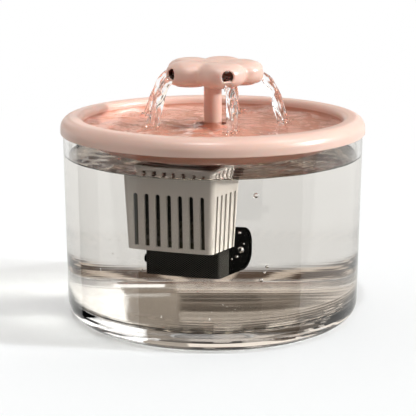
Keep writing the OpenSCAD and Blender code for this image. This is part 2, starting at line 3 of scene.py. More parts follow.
import bmesh
import bpy
import numpy as np
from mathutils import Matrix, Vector


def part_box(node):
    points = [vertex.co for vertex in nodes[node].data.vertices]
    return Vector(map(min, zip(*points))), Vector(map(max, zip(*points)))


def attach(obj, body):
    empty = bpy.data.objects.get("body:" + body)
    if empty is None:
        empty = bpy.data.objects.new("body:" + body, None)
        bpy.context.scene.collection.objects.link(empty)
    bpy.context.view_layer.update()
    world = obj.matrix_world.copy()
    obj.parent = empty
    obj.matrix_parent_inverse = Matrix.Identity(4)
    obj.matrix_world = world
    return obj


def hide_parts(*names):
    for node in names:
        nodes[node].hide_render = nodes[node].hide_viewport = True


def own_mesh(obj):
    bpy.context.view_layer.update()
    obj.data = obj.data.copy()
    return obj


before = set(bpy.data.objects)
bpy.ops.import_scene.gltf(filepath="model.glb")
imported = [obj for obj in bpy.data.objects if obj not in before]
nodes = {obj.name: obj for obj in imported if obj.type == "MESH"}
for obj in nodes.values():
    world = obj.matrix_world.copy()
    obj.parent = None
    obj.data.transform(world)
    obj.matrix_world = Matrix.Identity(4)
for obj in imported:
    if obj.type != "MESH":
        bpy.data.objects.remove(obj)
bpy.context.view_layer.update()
scene = bpy.context.scene
rng = np.random.default_rng(7)
MM = 0.001

# ---- sizes, in metres ----

TANK_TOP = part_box("tank")[1]              # its x is the radius of the tank's mouth
WALL = 2.8 * MM                           # the tank's wall
DRAFT = 1.0 * MM                          # the tank's mouth is this much wider than its foot
FLOOR_TOP = 10.0 * MM                     # top of the tank's floor
INNER_CORNER_R = 12.0 * MM                # rounding between the tank's wall and its floor, inside

WATER_TOP = 102.5 * MM                    # water level in the tank
BASIN_TOP = 121.0 * MM                    # water level in the basin
BASIN_FLOOR = 109.2 * MM
BASIN_FLAT_R = 66.0 * MM                  # flat part of the basin's floor
BASIN_OVAL = (15.2 * MM, 13.6 * MM)       # half axes of the basin's curved wall
BASIN_R = BASIN_FLAT_R + BASIN_OVAL[0]
COLLAR_IN_R = 8.8 * MM                    # bore of the drain collar
COLLAR_OUT_R = 10.6 * MM
COLLAR_COVER = 0.6 * MM                   # how far the water reaches down over the collar, just into it
WETTING = 0.15 * MM                       # how far a water mesh reaches into the wall that holds it

HEAD_LOW, HEAD_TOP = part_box("flower_head")
HEAD_CENTRE_R = 12 * MM                   # round middle between the petals
HEAD_WALL = 2.0 * MM
HEAD_STEP = 0.61 * MM                     # grid of the head's mesh, placed so that no cell holds two sheets
HEAD_SHIFT = (0.6, 0.42, 0.24)
PETALS = 5
PETAL_R = 14.6 * MM
PETAL_REACH = 17.2 * MM                   # from the axis to a petal's centre
PETAL_BLEND = 3.0 * MM                    # width over which the petals' outlines flow together
FIRST_PETAL = radians(16.5 - 90)
PETAL_ANGLES = [FIRST_PETAL + i * tau / PETALS for i in range(PETALS)]
NOZZLE_R = 3.5 * MM
NOZZLE_Z = (HEAD_LOW.z + HEAD_TOP.z) / 2
NOZZLE_START = 20 * MM                    # from the axis to the inner end of a nozzle's bore
NOZZLE_LIP = 0.9 * MM                     # rounding of a nozzle's edge
BASE_R = 13.95 * MM                       # opening for the base plate: its round middle
BASE_LOBE_R = 8.65 * MM                   # its lobes, one below each petal
BASE_HEIGHT = 4 * MM

CORE_TURN = radians(-22)                  # turn of the pump and the filter box about the riser
LANDING_R = [43 * MM, 45 * MM, 46 * MM, 53 * MM, 46 * MM]  # how far out each stream lands

# ---- colours and finishes ----

PEACH = (0.81, 0.57, 0.485)
PEACH_SHADE = (0.79, 0.54, 0.455)
PEACH_BASIN_SHADE = (0.60, 0.28, 0.195)           # painted shade: the part of the basin that its water covers is darker and deeper in colour
# where the basin's painted shade fades out, by radius and by height
BASIN_SHADE_EDGE_R = (BASIN_R + 0.1 * MM, BASIN_R + 0.7 * MM)
BASIN_SHADE_EDGE_Z = (BASIN_TOP + 0.3 * MM, BASIN_TOP + 1.2 * MM)
SKIN = {"Coat_Weight": 0.5, "Coat_Roughness": 0.3, "Subsurface_Weight": 0.25,
        "Subsurface_Radius": (1.0, 0.35, 0.22), "Subsurface_Scale": 4 * MM}
BLACK = (0.002, 0.002, 0.0017)
BLACK_SHADE = (0.003, 0.003, 0.0026)
WET = {"IOR": 1.12}                       # water hides most of a submerged surface's gloss
DRIFT, GLOSS, GRAIN = 25, 60, 2500        # noise scales of colour drift, uneven gloss and fine grain
SHARP_ANGLE = radians(40)                 # edges sharper than this aren't shaded smooth

WATER_IOR = 1.333
WATER_SHADE = (0.94, 0.94, 0.935)         # what is left of lamp light after a surface of the water
TANK_IOR = 1.49
TANK_TINT = (0.92, 0.905, 0.88)
# Painted shadow: what is left of lamp light after the tank's surfaces, set by place
WALL_SHADE = (0.87, 0.865, 0.85)
LEFT_PAINTED_SHADOW = (0.60, 0.595, 0.58)
LEFT_EDGE = (-50 * MM, -20 * MM)          # along x, where the left wall's shade gives way to the rest
PAINTED_STREAK_Y = -40 * MM                       # middle of a painted light streak in the left wall's shadow, where the key lamp's light, bent by the water, would leave
STREAK_EDGE = (2 * MM, 7 * MM)            # distances from its middle at which it starts and ends to fade
STREAK_WANDER = 10 * MM                   # how far it strays to each side
FOOT_EDGE = (1.6 * MM, 7 * MM)            # height at which lamp light starts to pass

SPONGE_PITCH = 1.7 * MM
SPONGE_LEAN = 1.3
SPONGE_EDGE = (0.04, 0.17)                # from a ridge's middle to the ends of its top and foot, in pitches
# Painted shade in the foam's grooves and painted highlight on its ridges
SPONGE_GROOVE_SHADE = (0.0006, 0.0006, 0.0006)
SPONGE_RIDGE_HIGHLIGHT = (0.15, 0.145, 0.13)


# ---- materials ----

class Nodes:
    """Short ways to add nodes to a tree."""

    def __init__(self, tree):
        self.tree = tree

    def node(self, kind, **settings):
        """A new node; a setting is a socket's value where a socket has that name."""
        made = self.tree.nodes.new(kind)
        for key, value in settings.items():
            if key in made.inputs:
                made.inputs[key].default_value = value
            else:
                setattr(made, key, value)
        return made

    def link(self, source, target):
        self.tree.links.new(source, target)

    def maths(self, operation, *values):
        """One operation on sockets and numbers."""
        made = self.node("ShaderNodeMath", operation=operation)
        for socket, value in zip(made.inputs, values):
            if hasattr(value, "is_linked"):
                self.link(value, socket)
            else:
                socket.default_value = value
        return made.outputs[0]

    def remap(self, value, low, high, from_low=0.3, from_high=0.7, smooth=False):
        kind = "SMOOTHSTEP" if smooth else "LINEAR"
        made = self.node("ShaderNodeMapRange", interpolation_type=kind)
        made.inputs["From Min"].default_value = from_low
        made.inputs["From Max"].default_value = from_high
        made.inputs["To Min"].default_value = low
        made.inputs["To Max"].default_value = high
        self.link(value, made.inputs["Value"])
        return made.outputs["Result"]

    def mix(self, factor, first, second):
        """A colour between two, each a socket or three numbers."""
        made = self.node("ShaderNodeMix", data_type="RGBA")
        self.link(factor, made.inputs["Factor"])
        for name, value in (("A", first), ("B", second)):
            if hasattr(value, "is_linked"):
                self.link(value, made.inputs[name])
            else:
                made.inputs[name].default_value = (*value, 1)
        return made.outputs["Result"]

    def mix_shader(self, factor, first, second):
        made = self.node("ShaderNodeMixShader")
        self.link(factor, made.inputs["Fac"])
        self.link(first, made.inputs[1])
        self.link(second, made.inputs[2])
        return made.outputs["Shader"]

    def place(self):
        return self.node("ShaderNodeTexCoord").outputs["Object"]

    def xyz(self, vector):
        """The three coordinates of a vector, as sockets."""
        made = self.node("ShaderNodeSeparateXYZ")
        self.link(vector, made.inputs["Vector"])
        return tuple(made.outputs)

    def noise(self, scale, detail=3.0, vector=None):
        made = self.node("ShaderNodeTexNoise", Scale=scale, Detail=detail)
        self.link(vector or self.place(), made.inputs["Vector"])
        return made.outputs["Fac"]


class Recipe(Nodes):
    """A node material built around one Principled shader."""

    def __init__(self, name, colour, roughness=0.5, **inputs):
        self.material = bpy.data.materials.new(name)
        self.material.use_nodes = True
        super().__init__(self.material.node_tree)
        self.shader = self.tree.nodes["Principled BSDF"]
        self.output = self.tree.nodes["Material Output"]
        self.shader.inputs["Base Color"].default_value = (*colour, 1)
        self.shader.inputs["Roughness"].default_value = roughness
        for key, value in inputs.items():
            self.shader.inputs[key.replace("_", " ")].default_value = value

    def colour(self, source):
        self.link(source, self.shader.inputs["Base Color"])

    def blend(self, factor, first, second):
        self.colour(self.mix(factor, first, second))

    def bump(self, height, distance, strength=1.0):
        made = self.node("ShaderNodeBump", Strength=strength, Distance=distance)
        self.link(height, made.inputs["Height"])
        self.link(made.outputs["Normal"], self.shader.inputs["Normal"])

    def rough(self, value, low, high):
        self.link(self.remap(value, low, high), self.shader.inputs["Roughness"])

    def let_lamps_through(self, tint):
        """Rays from lamps pass with a tint, so that what is behind the clear surface is lit."""
        path = self.node("ShaderNodeLightPath")
        passing = self.node("ShaderNodeBsdfTransparent", Color=(*tint, 1))
        mixed = self.mix_shader(path.outputs["Is Shadow Ray"], self.shader.outputs["BSDF"],
                                passing.outputs["BSDF"])
        self.link(mixed, self.output.inputs["Surface"])
        self.passed = passing.inputs["Color"]


def moulded(name, colour, shade, roughness, grain=0.02 * MM, **inputs):
    """Moulded plastic, rubber or metal: faint colour drift, a fine grain and uneven gloss."""
    recipe = Recipe(name, colour, roughness, **inputs)
    recipe.blend(recipe.remap(recipe.noise(DRIFT), 0, 1), colour, shade)
    recipe.rough(recipe.noise(GLOSS), roughness - 0.04, roughness + 0.05)
    recipe.bump(recipe.noise(GRAIN, 2), grain, 0.5)
    return recipe


def clear(name, ior, tint=(1, 1, 1), shade=WATER_SHADE):
    """A clear solid or liquid. Its surfaces leave shade of the light from lamps."""
    recipe = Recipe(name, tint, 0.0, IOR=ior, Transmission_Weight=1.0)
    recipe.let_lamps_through(shade)
    return recipe


def clear_tank():
    """Clear plastic. Lamps pass its walls with a painted shadow: less on the left, but for a painted light
    streak opposite the key lamp.

    None pass its foot, because light from the sides can't leave through a flat underside.
    """
    recipe = clear("clear_plastic", TANK_IOR, TANK_TINT)
    x, y, z = recipe.xyz(recipe.place())
    wander = recipe.remap(recipe.noise(40, 2), -STREAK_WANDER, STREAK_WANDER)
    # painted light streak and painted shadow in what the walls let through
    off_streak = recipe.maths("ADD", recipe.maths("SUBTRACT", y, PAINTED_STREAK_Y), wander)
    in_painted_streak = recipe.remap(recipe.maths("ABSOLUTE", off_streak), 1, 0, *STREAK_EDGE)
    left = recipe.mix(in_painted_streak, LEFT_PAINTED_SHADOW, (1, 1, 1))
    walls = recipe.mix(recipe.remap(x, 1, 0, *LEFT_EDGE), WALL_SHADE, left)
    recipe.link(recipe.mix(recipe.remap(z, 0, 1, *FOOT_EDGE), (0, 0, 0), walls), recipe.passed)
    return recipe


def peach_lid():
    """Satin peach plastic; the part of the basin under its water gets a painted shade, deeper in colour than
    the rim.
    """
    recipe = moulded("peach_plastic", PEACH, PEACH_SHADE, 0.36, **SKIN)
    unshaded_colour = recipe.shader.inputs["Base Color"].links[0].from_socket
    x, y, z = recipe.xyz(recipe.place())
    squares = recipe.maths("ADD", recipe.maths("MULTIPLY", x, x), recipe.maths("MULTIPLY", y, y))
    within = recipe.remap(recipe.maths("SQRT", squares), 1, 0, *BASIN_SHADE_EDGE_R, smooth=True)
    below = recipe.remap(z, 1, 0, *BASIN_SHADE_EDGE_Z, smooth=True)
    # painted shade over the basin below its water's edge
    recipe.blend(recipe.maths("MULTIPLY", within, below), unshaded_colour, PEACH_BASIN_SHADE)
    return recipe


def felt(name, colour, shade, scale, depth):
    """Matted fibres or open foam."""
    recipe = Recipe(name, colour, 0.9, Sheen_Weight=0.2)
    recipe.blend(recipe.remap(recipe.noise(scale / 4), 0, 1), colour, shade)
    recipe.bump(recipe.noise(scale, 4), depth)
    return recipe


def granules(name, colour, shade, size):
    """Beads or grains in a thin bag."""
    recipe = Recipe(name, colour, 0.6)
    cells = recipe.node("ShaderNodeTexVoronoi", Scale=1 / size)
    recipe.link(recipe.place(), cells.inputs["Vector"])
    recipe.blend(recipe.remap(cells.outputs["Distance"], 0, 1, 0.2, 0.7), colour, shade)
    recipe.bump(recipe.remap(cells.outputs["Distance"], 1, 0, 0.0, 0.8), 0.5 * MM)
    return recipe


def diamond_sponge():
    """Black foam with a pressed diamond pattern: two sets of ridges that lean opposite ways, with a painted
    highlight on the ridges.
    """
    recipe = Recipe("sponge_foam", BLACK, 0.55, **WET)
    turned = recipe.node("ShaderNodeMapping", Rotation=(0, 0, -CORE_TURN))
    recipe.link(recipe.place(), turned.inputs["Vector"])
    x, y, z = recipe.xyz(turned.outputs["Vector"])
    along = recipe.maths("ADD", x, y)
    from_ridge = []
    for lean in (SPONGE_LEAN, -SPONGE_LEAN):
        slanted = recipe.maths("ADD", along, recipe.maths("MULTIPLY", z, lean))
        from_ridge.append(recipe.maths("PINGPONG", slanted, SPONGE_PITCH / 2))
    nearest = recipe.maths("MINIMUM", *from_ridge)
    ridge = recipe.remap(nearest, 1, 0, *(share * SPONGE_PITCH for share in SPONGE_EDGE))
    # painted highlight on the ridges, painted shade in the grooves
    recipe.blend(ridge, SPONGE_GROOVE_SHADE, SPONGE_RIDGE_HIGHLIGHT)
    recipe.bump(ridge, 0.5 * MM)
    return recipe


peach = peach_lid()
peach_head = moulded("peach_head_plastic", PEACH, PEACH_SHADE, 0.36, **SKIN)
# painted shade: a near-black brown in place of the shade deep in the nozzles' bores
bore_painted_shade = moulded("nozzle_bore_painted_shade", (0.05, 0.022, 0.014), (0.03, 0.012, 0.008), 0.25)
seal_silicone = moulded("white_silicone", (0.84, 0.83, 0.80), (0.78, 0.77, 0.74), 0.55)
grommet_silicone = moulded("peach_silicone", (0.70, 0.47, 0.40), (0.66, 0.44, 0.37), 0.6)
pump_plastic = moulded("pump_plastic", BLACK, BLACK_SHADE, 0.38, 0.05 * MM, Specular_IOR_Level=0.0, **WET)
box_plastic = moulded("filter_box_plastic", (0.71, 0.67, 0.62), (0.68, 0.64, 0.59), 0.42, **WET)
rubber = moulded("black_rubber", BLACK, BLACK_SHADE, 0.7, **WET)
board_lacquer = moulded("board_lacquer", (0.02, 0.12, 0.05), (0.015, 0.09, 0.04), 0.3)
white_plastic = moulded("impeller_plastic", (0.76, 0.75, 0.71), (0.70, 0.69, 0.65), 0.4)
frame_plastic = moulded("frame_plastic", (0.10, 0.095, 0.07), (0.08, 0.075, 0.055), 0.45, **WET)
shaft_metal = moulded("shaft_steel", (0.75, 0.75, 0.76), (0.70, 0.70, 0.71), 0.2, Metallic=1.0)
steel = moulded("lamination_steel", (0.42, 0.43, 0.45), (0.36, 0.37, 0.39), 0.35, Metallic=1.0)
ferrite = moulded("ferrite", (0.06, 0.06, 0.065), (0.08, 0.08, 0.085), 0.5)
copper = moulded("copper_wire", (0.62, 0.26, 0.12), (0.5, 0.2, 0.09), 0.3, Metallic=1.0)
cotton = felt("cotton", (0.16, 0.15, 0.12), (0.11, 0.10, 0.08), 900, 0.6 * MM)
filter_foam = felt("filter_foam", (0.03, 0.027, 0.024), (0.015, 0.014, 0.012), 700, 1.0 * MM)
resin = granules("resin_beads", (0.13, 0.115, 0.08), (0.05, 0.045, 0.03), 1.2 * MM)
carbon = granules("carbon", (0.035, 0.032, 0.026), (0.012, 0.011, 0.009), 1.8 * MM)
sponge = diamond_sponge()
tank_plastic = clear_tank()
water = clear("water", WATER_IOR)
air_bubble = clear("air_bubble", 1 / WATER_IOR)

MATERIALS = {
    "lid_tray": peach, "riser_tube": peach, "flower_base": peach, "cable_grommet": grommet_silicone,
    "riser_seal": seal_silicone, "tank": tank_plastic, "pump_housing": pump_plastic,
    "back_cover": pump_plastic, "pump_cover": pump_plastic, "cable_gland": rubber,
    "driver_board": board_lacquer, "stator_core": steel, "stator_coils": copper,
    "rotor_magnet": ferrite, "impeller": white_plastic, "rotor_shaft": shaft_metal,
    "rear_bush": rubber, "front_bush": rubber, "pump_sponge": sponge, "filter_box": box_plastic,
    "filter_frame": frame_plastic, "cotton_pad": cotton, "resin_pack": resin,
    "carbon_pack": carbon, "foam_pad": filter_foam, "flower_head": peach_head,
}
for name, recipe in MATERIALS.items():
    nodes[name].data.materials.clear()
    nodes[name].data.materials.append(recipe.material)


# ---- mesh tools ----

def piece(name, verts, faces, recipe, body):
    """A smooth mesh piece with outward faces, which rides on a CAD body."""
    mesh = bpy.data.meshes.new(name)
    mesh.from_pydata([tuple(v) for v in verts], [], faces)
    work = bmesh.new()
    work.from_mesh(mesh)
    bmesh.ops.recalc_face_normals(work, faces=work.faces)
    work.to_mesh(mesh)
    work.free()
    mesh.polygons.foreach_set("use_smooth", [True] * len(mesh.polygons))
    mesh.set_sharp_from_angle(angle=SHARP_ANGLE)
    mesh.materials.append(recipe.material)
    made = bpy.data.objects.new(name, mesh)
    scene.collection.objects.link(made)
    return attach(made, body)


def arc(centre, radii, start, end, steps):
    """Points on an oval, by angle in degrees."""
    angles = np.radians(np.linspace(start, end, steps + 1))
    return [(centre[0] + radii[0] * cos(a), centre[1] + radii[1] * sin(a)) for a in angles]


def bands(rings, closed=False):
    """Faces between neighbouring rings, each a list of point numbers; one at the axis is a single point."""
    faces = []
    following = rings[1:] + (rings[:1] if closed else [])
    for one, two in zip(rings, following):
        count = max(len(one), len(two))
        for i in range(count):
            j = (i + 1) % count
            if len(one) == 1:
                faces.append((one[0], two[i], two[j]))
            elif len(two) == 1:
                faces.append((one[i], two[0], one[j]))
            else:
                faces.append((one[i], two[i], two[j], one[j]))
    return faces


def revolve(profile, segments, lift, closed=False):
    """Turns a profile about the axis: radius, height and, for some points, their share of lift(x, y)."""
    full_turn = np.arange(segments) * tau / segments
    verts, rings = [], []
    for radius, height, *share in profile:
        turn = full_turn if radius else full_turn[:1]
        x, y = radius * np.cos(turn), radius * np.sin(turn)
        z = height + (lift(x, y) * share[0] if share else 0 * x)
        rings.append(list(range(len(verts), len(verts) + len(turn))))
        verts += list(np.stack([x, y, z], 1))
    return verts, bands(rings, closed)


# ---- flower head: five cushions that flow into each other ----

def smooth_min(a, b, width):
    h = np.clip(0.5 + 0.5 * (b - a) / width, 0, 1)
    return b * (1 - h) + a * h - width * h * (1 - h)


def from_petal(x, y, angle):
    """Distance in plan from a petal's centre."""
    return np.hypot(x - PETAL_REACH * cos(angle), y - PETAL_REACH * sin(angle))


def seen_from_petal(x, y, angle):
    """How far points lie out along a petal's middle line, and how far beside it."""
    return x * cos(angle) + y * sin(angle), -x * sin(angle) + y * cos(angle)


def head_form(points):
    """Below zero inside the head's outer form, roughly in metres near its surface."""
    x, y, z = points
    plan = np.hypot(x, y) - HEAD_CENTRE_R
    for angle in PETAL_ANGLES:
        plan = smooth_min(plan, from_petal(x, y, angle) - PETAL_R, PETAL_BLEND)
    inward = np.clip(-plan / PETAL_R, -1, 1)
    half = (HEAD_TOP.z - HEAD_LOW.z) / 2
    up = (z - NOZZLE_Z) / half
    power = np.where(up > 0, 2.5, 3.2)    # the underside is fuller than the top
    spread = (np.clip(1 - inward, 0, None) ** power + np.abs(up) ** power) ** (1 / power)
    return (spread - 1) * half


def head_field(points):
    """Below zero in the head's wall: its form, hollow, with a bore in each petal and open below."""
    x, y, z = points
    outer = head_form(points)
    field = np.maximum(outer, -(outer + HEAD_WALL))
    plate = np.hypot(x, y) - BASE_R
    for angle in PETAL_ANGLES:
        along, across = seen_from_petal(x, y, angle)
        bore = np.hypot(across, z - NOZZLE_Z) - NOZZLE_R
        bore = np.maximum(bore, NOZZLE_START - along)
        field = -smooth_min(-field, bore, NOZZLE_LIP)
        plate = np.minimum(plate, from_petal(x, y, angle) - BASE_LOBE_R)
    opening = np.maximum(plate, z - (HEAD_LOW.z + BASE_HEIGHT))
    return np.maximum(field, -opening)


def surface_net(field, low, high, step):
    """Quads on the zero surface of field, with points pulled onto it."""
    axes = [np.arange(low[i] - 2 * step, high[i] + 2 * step, step) for i in range(3)]
    grid = np.meshgrid(*axes, indexing="ij")
    value = field(grid)
    inside = value < 0
    shape = [n - 1 for n in value.shape]
    corner = [(a, b, c) for a in (0, 1) for b in (0, 1) for c in (0, 1)]

    def shifted(array, offset):
        return array[tuple(slice(o, o + n) for o, n in zip(offset, shape))]

    filled = sum(shifted(inside, c).astype(int) for c in corner)
    active = (filled > 0) & (filled < 8)
    index = np.full(shape, -1)
    index[active] = np.arange(active.sum())

    # one point per active cell: the mean of where its edges cross the surface
    cell = np.argwhere(active)
    held = {c: shifted(value, c)[active] for c in corner}
    total, count = np.zeros((len(cell), 3)), np.zeros(len(cell))
    for a in corner:
        for b in corner:
            if sum(b) == sum(a) + 1 and sum(abs(p - q) for p, q in zip(a, b)) == 1:
                crossing = (held[a] < 0) != (held[b] < 0)
                share = np.where(crossing, held[a] / np.where(crossing, held[a] - held[b], 1), 0)
                spot = np.array(a) + share[:, None] * (np.array(b) - np.array(a))
                total += spot * crossing[:, None]
                count += crossing
    spots = np.array([a[0] for a in axes]) + (cell + total / count[:, None]) * step

    # pull each point down the field's slope
    nudge = step / 4
    for _ in range(3):
        here = field(spots.T)
        slope = np.stack([(field((spots + nudge * side).T) - here) / nudge for side in np.eye(3)], 1)
        steep = np.clip((slope ** 2).sum(1), 0.2, None)
        spots -= np.clip(here / steep, -step / 2, step / 2)[:, None] * slope

    # one quad round each grid edge that crosses the surface
    quads = []
    for axis in range(3):
        b, c = [k for k in range(3) if k != axis]
        first = inside[tuple(slice(0, -1) if k == axis else slice(1, -1) for k in range(3))]
        second = inside[tuple(slice(1, None) if k == axis else slice(1, -1) for k in range(3))]
        for edge in np.argwhere(first != second):
            base = edge + np.array([0 if k == axis else 1 for k in range(3)])
            around = []
            for db, dc in ((-1, -1), (0, -1), (0, 0), (-1, 0)):
                spot = base.copy()
                spot[b] += db
                spot[c] += dc
                around.append(int(index[tuple(spot)]))
            quads.append(tuple(around))
    return spots, quads


def in_bore(points):
    """True for points on the wall of a nozzle's bore, a little way in, which get a painted shade."""
    x, y, z = points
    found = np.zeros(len(x), bool)
    for angle in PETAL_ANGLES:
        along, across = seen_from_petal(x, y, angle)
        found |= (np.hypot(across, z - NOZZLE_Z) < NOZZLE_R + 0.35 * MM) & (along > 15 * MM)
    return found & (head_form(points) < -0.5 * MM)


def flower_head():
    reach = PETAL_REACH + PETAL_R
    shift = [share * HEAD_STEP for share in HEAD_SHIFT]
    low = (shift[0] - reach, shift[1] - reach, shift[2] + HEAD_LOW.z)
    verts, faces = surface_net(head_field, low, (reach, reach, HEAD_TOP.z), HEAD_STEP)
    made = piece("flower_shell", verts, faces, peach_head, "head")
    # the bores' walls get the painted shade
    made.data.materials.append(bore_painted_shade.material)
    centres = np.array([face.center for face in made.data.polygons]).T
    made.data.polygons.foreach_set("material_index", in_bore(centres).astype(np.int32))
    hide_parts("flower_head")


# ---- water ----

# Crossing waves: height, number, length, and how much their lengths differ
SLOW_WAVES = (0.75 * MM, 7, 24 * MM, 0.5)
SHORT_WAVES = (0.16 * MM, 6, 10 * MM, 0.4)
CHOPPY_WAVES = (1, 9, 3.6 * MM, 0.4)
TANK_WAVES = (0.16 * MM, 9, 22 * MM, 0.4)
# Rings of waves round a point: height, how far they reach, and a ring's width over tau
NEAR_RINGS = (0.5 * MM, 9 * MM, 0.8 * MM)
WIDE_RINGS = (0.10 * MM, 24 * MM, 1.4 * MM)
TANK_RINGS = (0.22 * MM, 70 * MM, 1.3 * MM)
CHOP = (1.5 * MM, 7.5 * MM)               # height and reach of the rough patch at each landing

CALM_EDGE = 2 * MM                        # next to the basin's wall, where its waves grow to full height
OPEN_WATER_R = 13 * MM                    # inner end of the basin's open water, outside the collar
# The basin water's surface at the drain, in mm: radius, drop below its level, and share of the waves
OVER_COLLAR = [(11.5, 0.05, 0.5), (10.2, 0.12, 0.2)]
INTO_DRAIN = [(9.4, 0.25), (8.9, 0.5), (8.5, 1.0)]
FILM = 0.5 * MM                           # thickness of the water that runs down the drain
FILM_DROPS = (2.2, 6, 12)                 # points down it, in mm below the basin's water
FILM_LOW = 107.5 * MM                     # its lower end, just above the lid's underside

MENISCUS = 1.2 * MM                       # how far the tank's water climbs its wall
MENISCUS_INSETS = (0.15, 0.4, 0.8, 1.3, 2.0, 3.0)  # points of its curve, in mm from the wall
MENISCUS_REACH = 0.8                      # over this many mm it comes down to about a third
MENISCUS_END = 4.5 * MM                   # from here inwards the water is level but for its ripples

STREAM_ROWS = 110
STREAM_SIDES = 32
STREAM_INSET = 3.5 * MM                   # a stream starts this far inside its nozzle's mouth
STREAM_DROP = 1.7 * MM                    # and this far below the nozzle's middle
STREAM_SUNK = 1.5 * MM                    # and ends this far below the basin's water
STREAM_R = 1.6 * MM                       # its radius at the start
STREAM_GROWTH = 1.6 * MM                  # how much wider it gets soon after
STREAM_THINNING = 0.5 * MM                # and how much thinner as it falls
STREAM_SWAY = 0.5 * MM                    # how far it wanders by the time it lands
STREAM_BRAID = (0.03, 0.24)               # how uneven it is at the start, and how much more further on

SPLASH_DROPS = 26
SPLASH_FAR = (2.5, 8)                     # spans in mm: distance from the landing, height and radius
SPLASH_HEIGHT = (0.2, 4.5)
SPLASH_SIZE = (0.3, 0.9)
SPLASH_REACH = 9 * MM                     # here their height would come down to nothing
# Bubbles round the pump and near its outlet, in mm: x, y, z and radius
BUBBLES = [
    (22.0, -40, 86.0, 1.7), (14.0, -33, 51.5, 1.9), (12.0, -34, 47.5, 1.0), (9.5, -34, 46.0, 0.7),
    (13.5, -33, 62.0, 0.9), (15.5, -32, 55.0, 0.6), (27.0, -20, 38.0, 1.1), (25.5, -18, 34.0, 0.8),
    (24.0, -22, 30.0, 1.3), (29.0, -24, 26.0, 0.7), (-2.0, -60, 14.0, 0.6), (9.0, -55, 12.5, 0.5)]
# Fine bubbles at the front left wall and over the floor: number, and spans of angle in radians, and of
# distance from the axis, height and radius in mm
FINE_BUBBLES = [(34, ((-2.6, -2.1), (60, 84), (20, 60), (0.15, 0.5))),
                (30, ((-2.2, -0.6), (15, 75), (10.6, 14), (0.12, 0.4)))]


def landing(i):
    """Where stream i meets the basin's water."""
    return LANDING_R[i] * cos(PETAL_ANGLES[i]), LANDING_R[i] * sin(PETAL_ANGLES[i])


def swell(x, y, height, waves, length, spread):
    """Long crossing waves."""
    total = 0
    draw = np.random.default_rng(3)
    for _ in range(waves):
        heading, phase = draw.uniform(0, tau, 2)
        pace = tau / (length * draw.uniform(1 - spread, 1 + spread))
        total = total + np.sin(pace * (x * cos(heading) + y * sin(heading)) + phase)
    return height * (total / sqrt(waves))


def ripples(far, height, reach, width):
    return height * np.exp(-far / reach) * np.cos(far / width)


def basin_lift(x, y):
    """The basin's water: a slow swell, rings round each landing and a rough patch where it splashes."""
    height = swell(x, y, *SLOW_WAVES) + swell(y, x, *SHORT_WAVES)
    for i in range(PETALS):
        cx, cy = landing(i)
        far = np.hypot(x - cx, y - cy)
        height = height + ripples(far, *NEAR_RINGS)
        height = height + ripples(far, *WIDE_RINGS)
        rough = swell(x + cx, y + cy, *CHOPPY_WAVES)
        height = height + CHOP[0] * np.exp(-(far / CHOP[1]) ** 2) * (0.5 + rough)
    return height


def basin_water():
    """A ring of water on the basin's floor, which covers the drain collar and runs down its bore."""
    oval = (BASIN_OVAL[0] + WETTING, BASIN_OVAL[1] + WETTING)
    centre = (BASIN_FLAT_R, BASIN_FLOOR + BASIN_OVAL[1])
    edge_angle = -np.degrees(np.arcsin((centre[1] - BASIN_TOP) / oval[1]))
    edge_r = centre[0] + oval[0] * cos(radians(edge_angle))
    bore_r, collar_r = COLLAR_IN_R + WETTING, COLLAR_OUT_R - WETTING
    collar_top = BASIN_TOP - COLLAR_COVER
    profile = [(bore_r, FILM_LOW), (bore_r, collar_top), (collar_r, collar_top)]
    profile.append((collar_r, BASIN_FLOOR - WETTING))
    profile += arc(centre, oval, -90, edge_angle, 24)
    for radius in np.linspace(edge_r, OPEN_WATER_R, 150):
        profile.append((radius, BASIN_TOP, float(np.clip((edge_r - radius) / CALM_EDGE, 0.3, 1))))
    profile += [(radius * MM, BASIN_TOP - drop * MM, share) for radius, drop, share in OVER_COLLAR]
    profile += [(radius * MM, BASIN_TOP - drop * MM) for radius, drop in INTO_DRAIN]
    profile += [(COLLAR_IN_R - FILM, BASIN_TOP - drop * MM) for drop in FILM_DROPS]
    profile.append((COLLAR_IN_R - FILM, FILM_LOW))
    piece("basin_water", *revolve(profile, 480, basin_lift, closed=True), water, "lid")


def tank_lift(x, y):
    """Ripples of the tank's water, which spread from below the drain."""
    return ripples(np.hypot(x, y), *TANK_RINGS) + swell(x, y, *TANK_WAVES)


def tank_water():
    """The tank's water, which wets its floor, corner and wall and climbs the wall a little."""
    radius = INNER_CORNER_R + WETTING
    corner_z = FLOOR_TOP + INNER_CORNER_R
    centre_r = TANK_TOP.x - DRAFT - WALL - INNER_CORNER_R
    wall_r = centre_r + radius
    top_r = wall_r + DRAFT * (WATER_TOP - corner_z) / (TANK_TOP.z - corner_z)
    profile = [(0, FLOOR_TOP - WETTING)] + arc((centre_r, corner_z), (radius, radius), -90, 0, 16)
    for share in np.linspace(0.1, 1, 10):
        height = corner_z + (WATER_TOP + MENISCUS - corner_z) * share
        profile.append((wall_r + (top_r - wall_r) * share, height))
    for inset in MENISCUS_INSETS:
        height = WATER_TOP + MENISCUS * np.exp(-inset / MENISCUS_REACH)
        profile.append((top_r - inset * MM, height, min(1, inset / MENISCUS_INSETS[-1])))
    profile += [(r, WATER_TOP, 1) for r in np.linspace(top_r - MENISCUS_END, 3 * MM, 90)]
    profile.append((0, WATER_TOP, 1))
    piece("tank_water", *revolve(profile, 288, tank_lift), water, "tank")


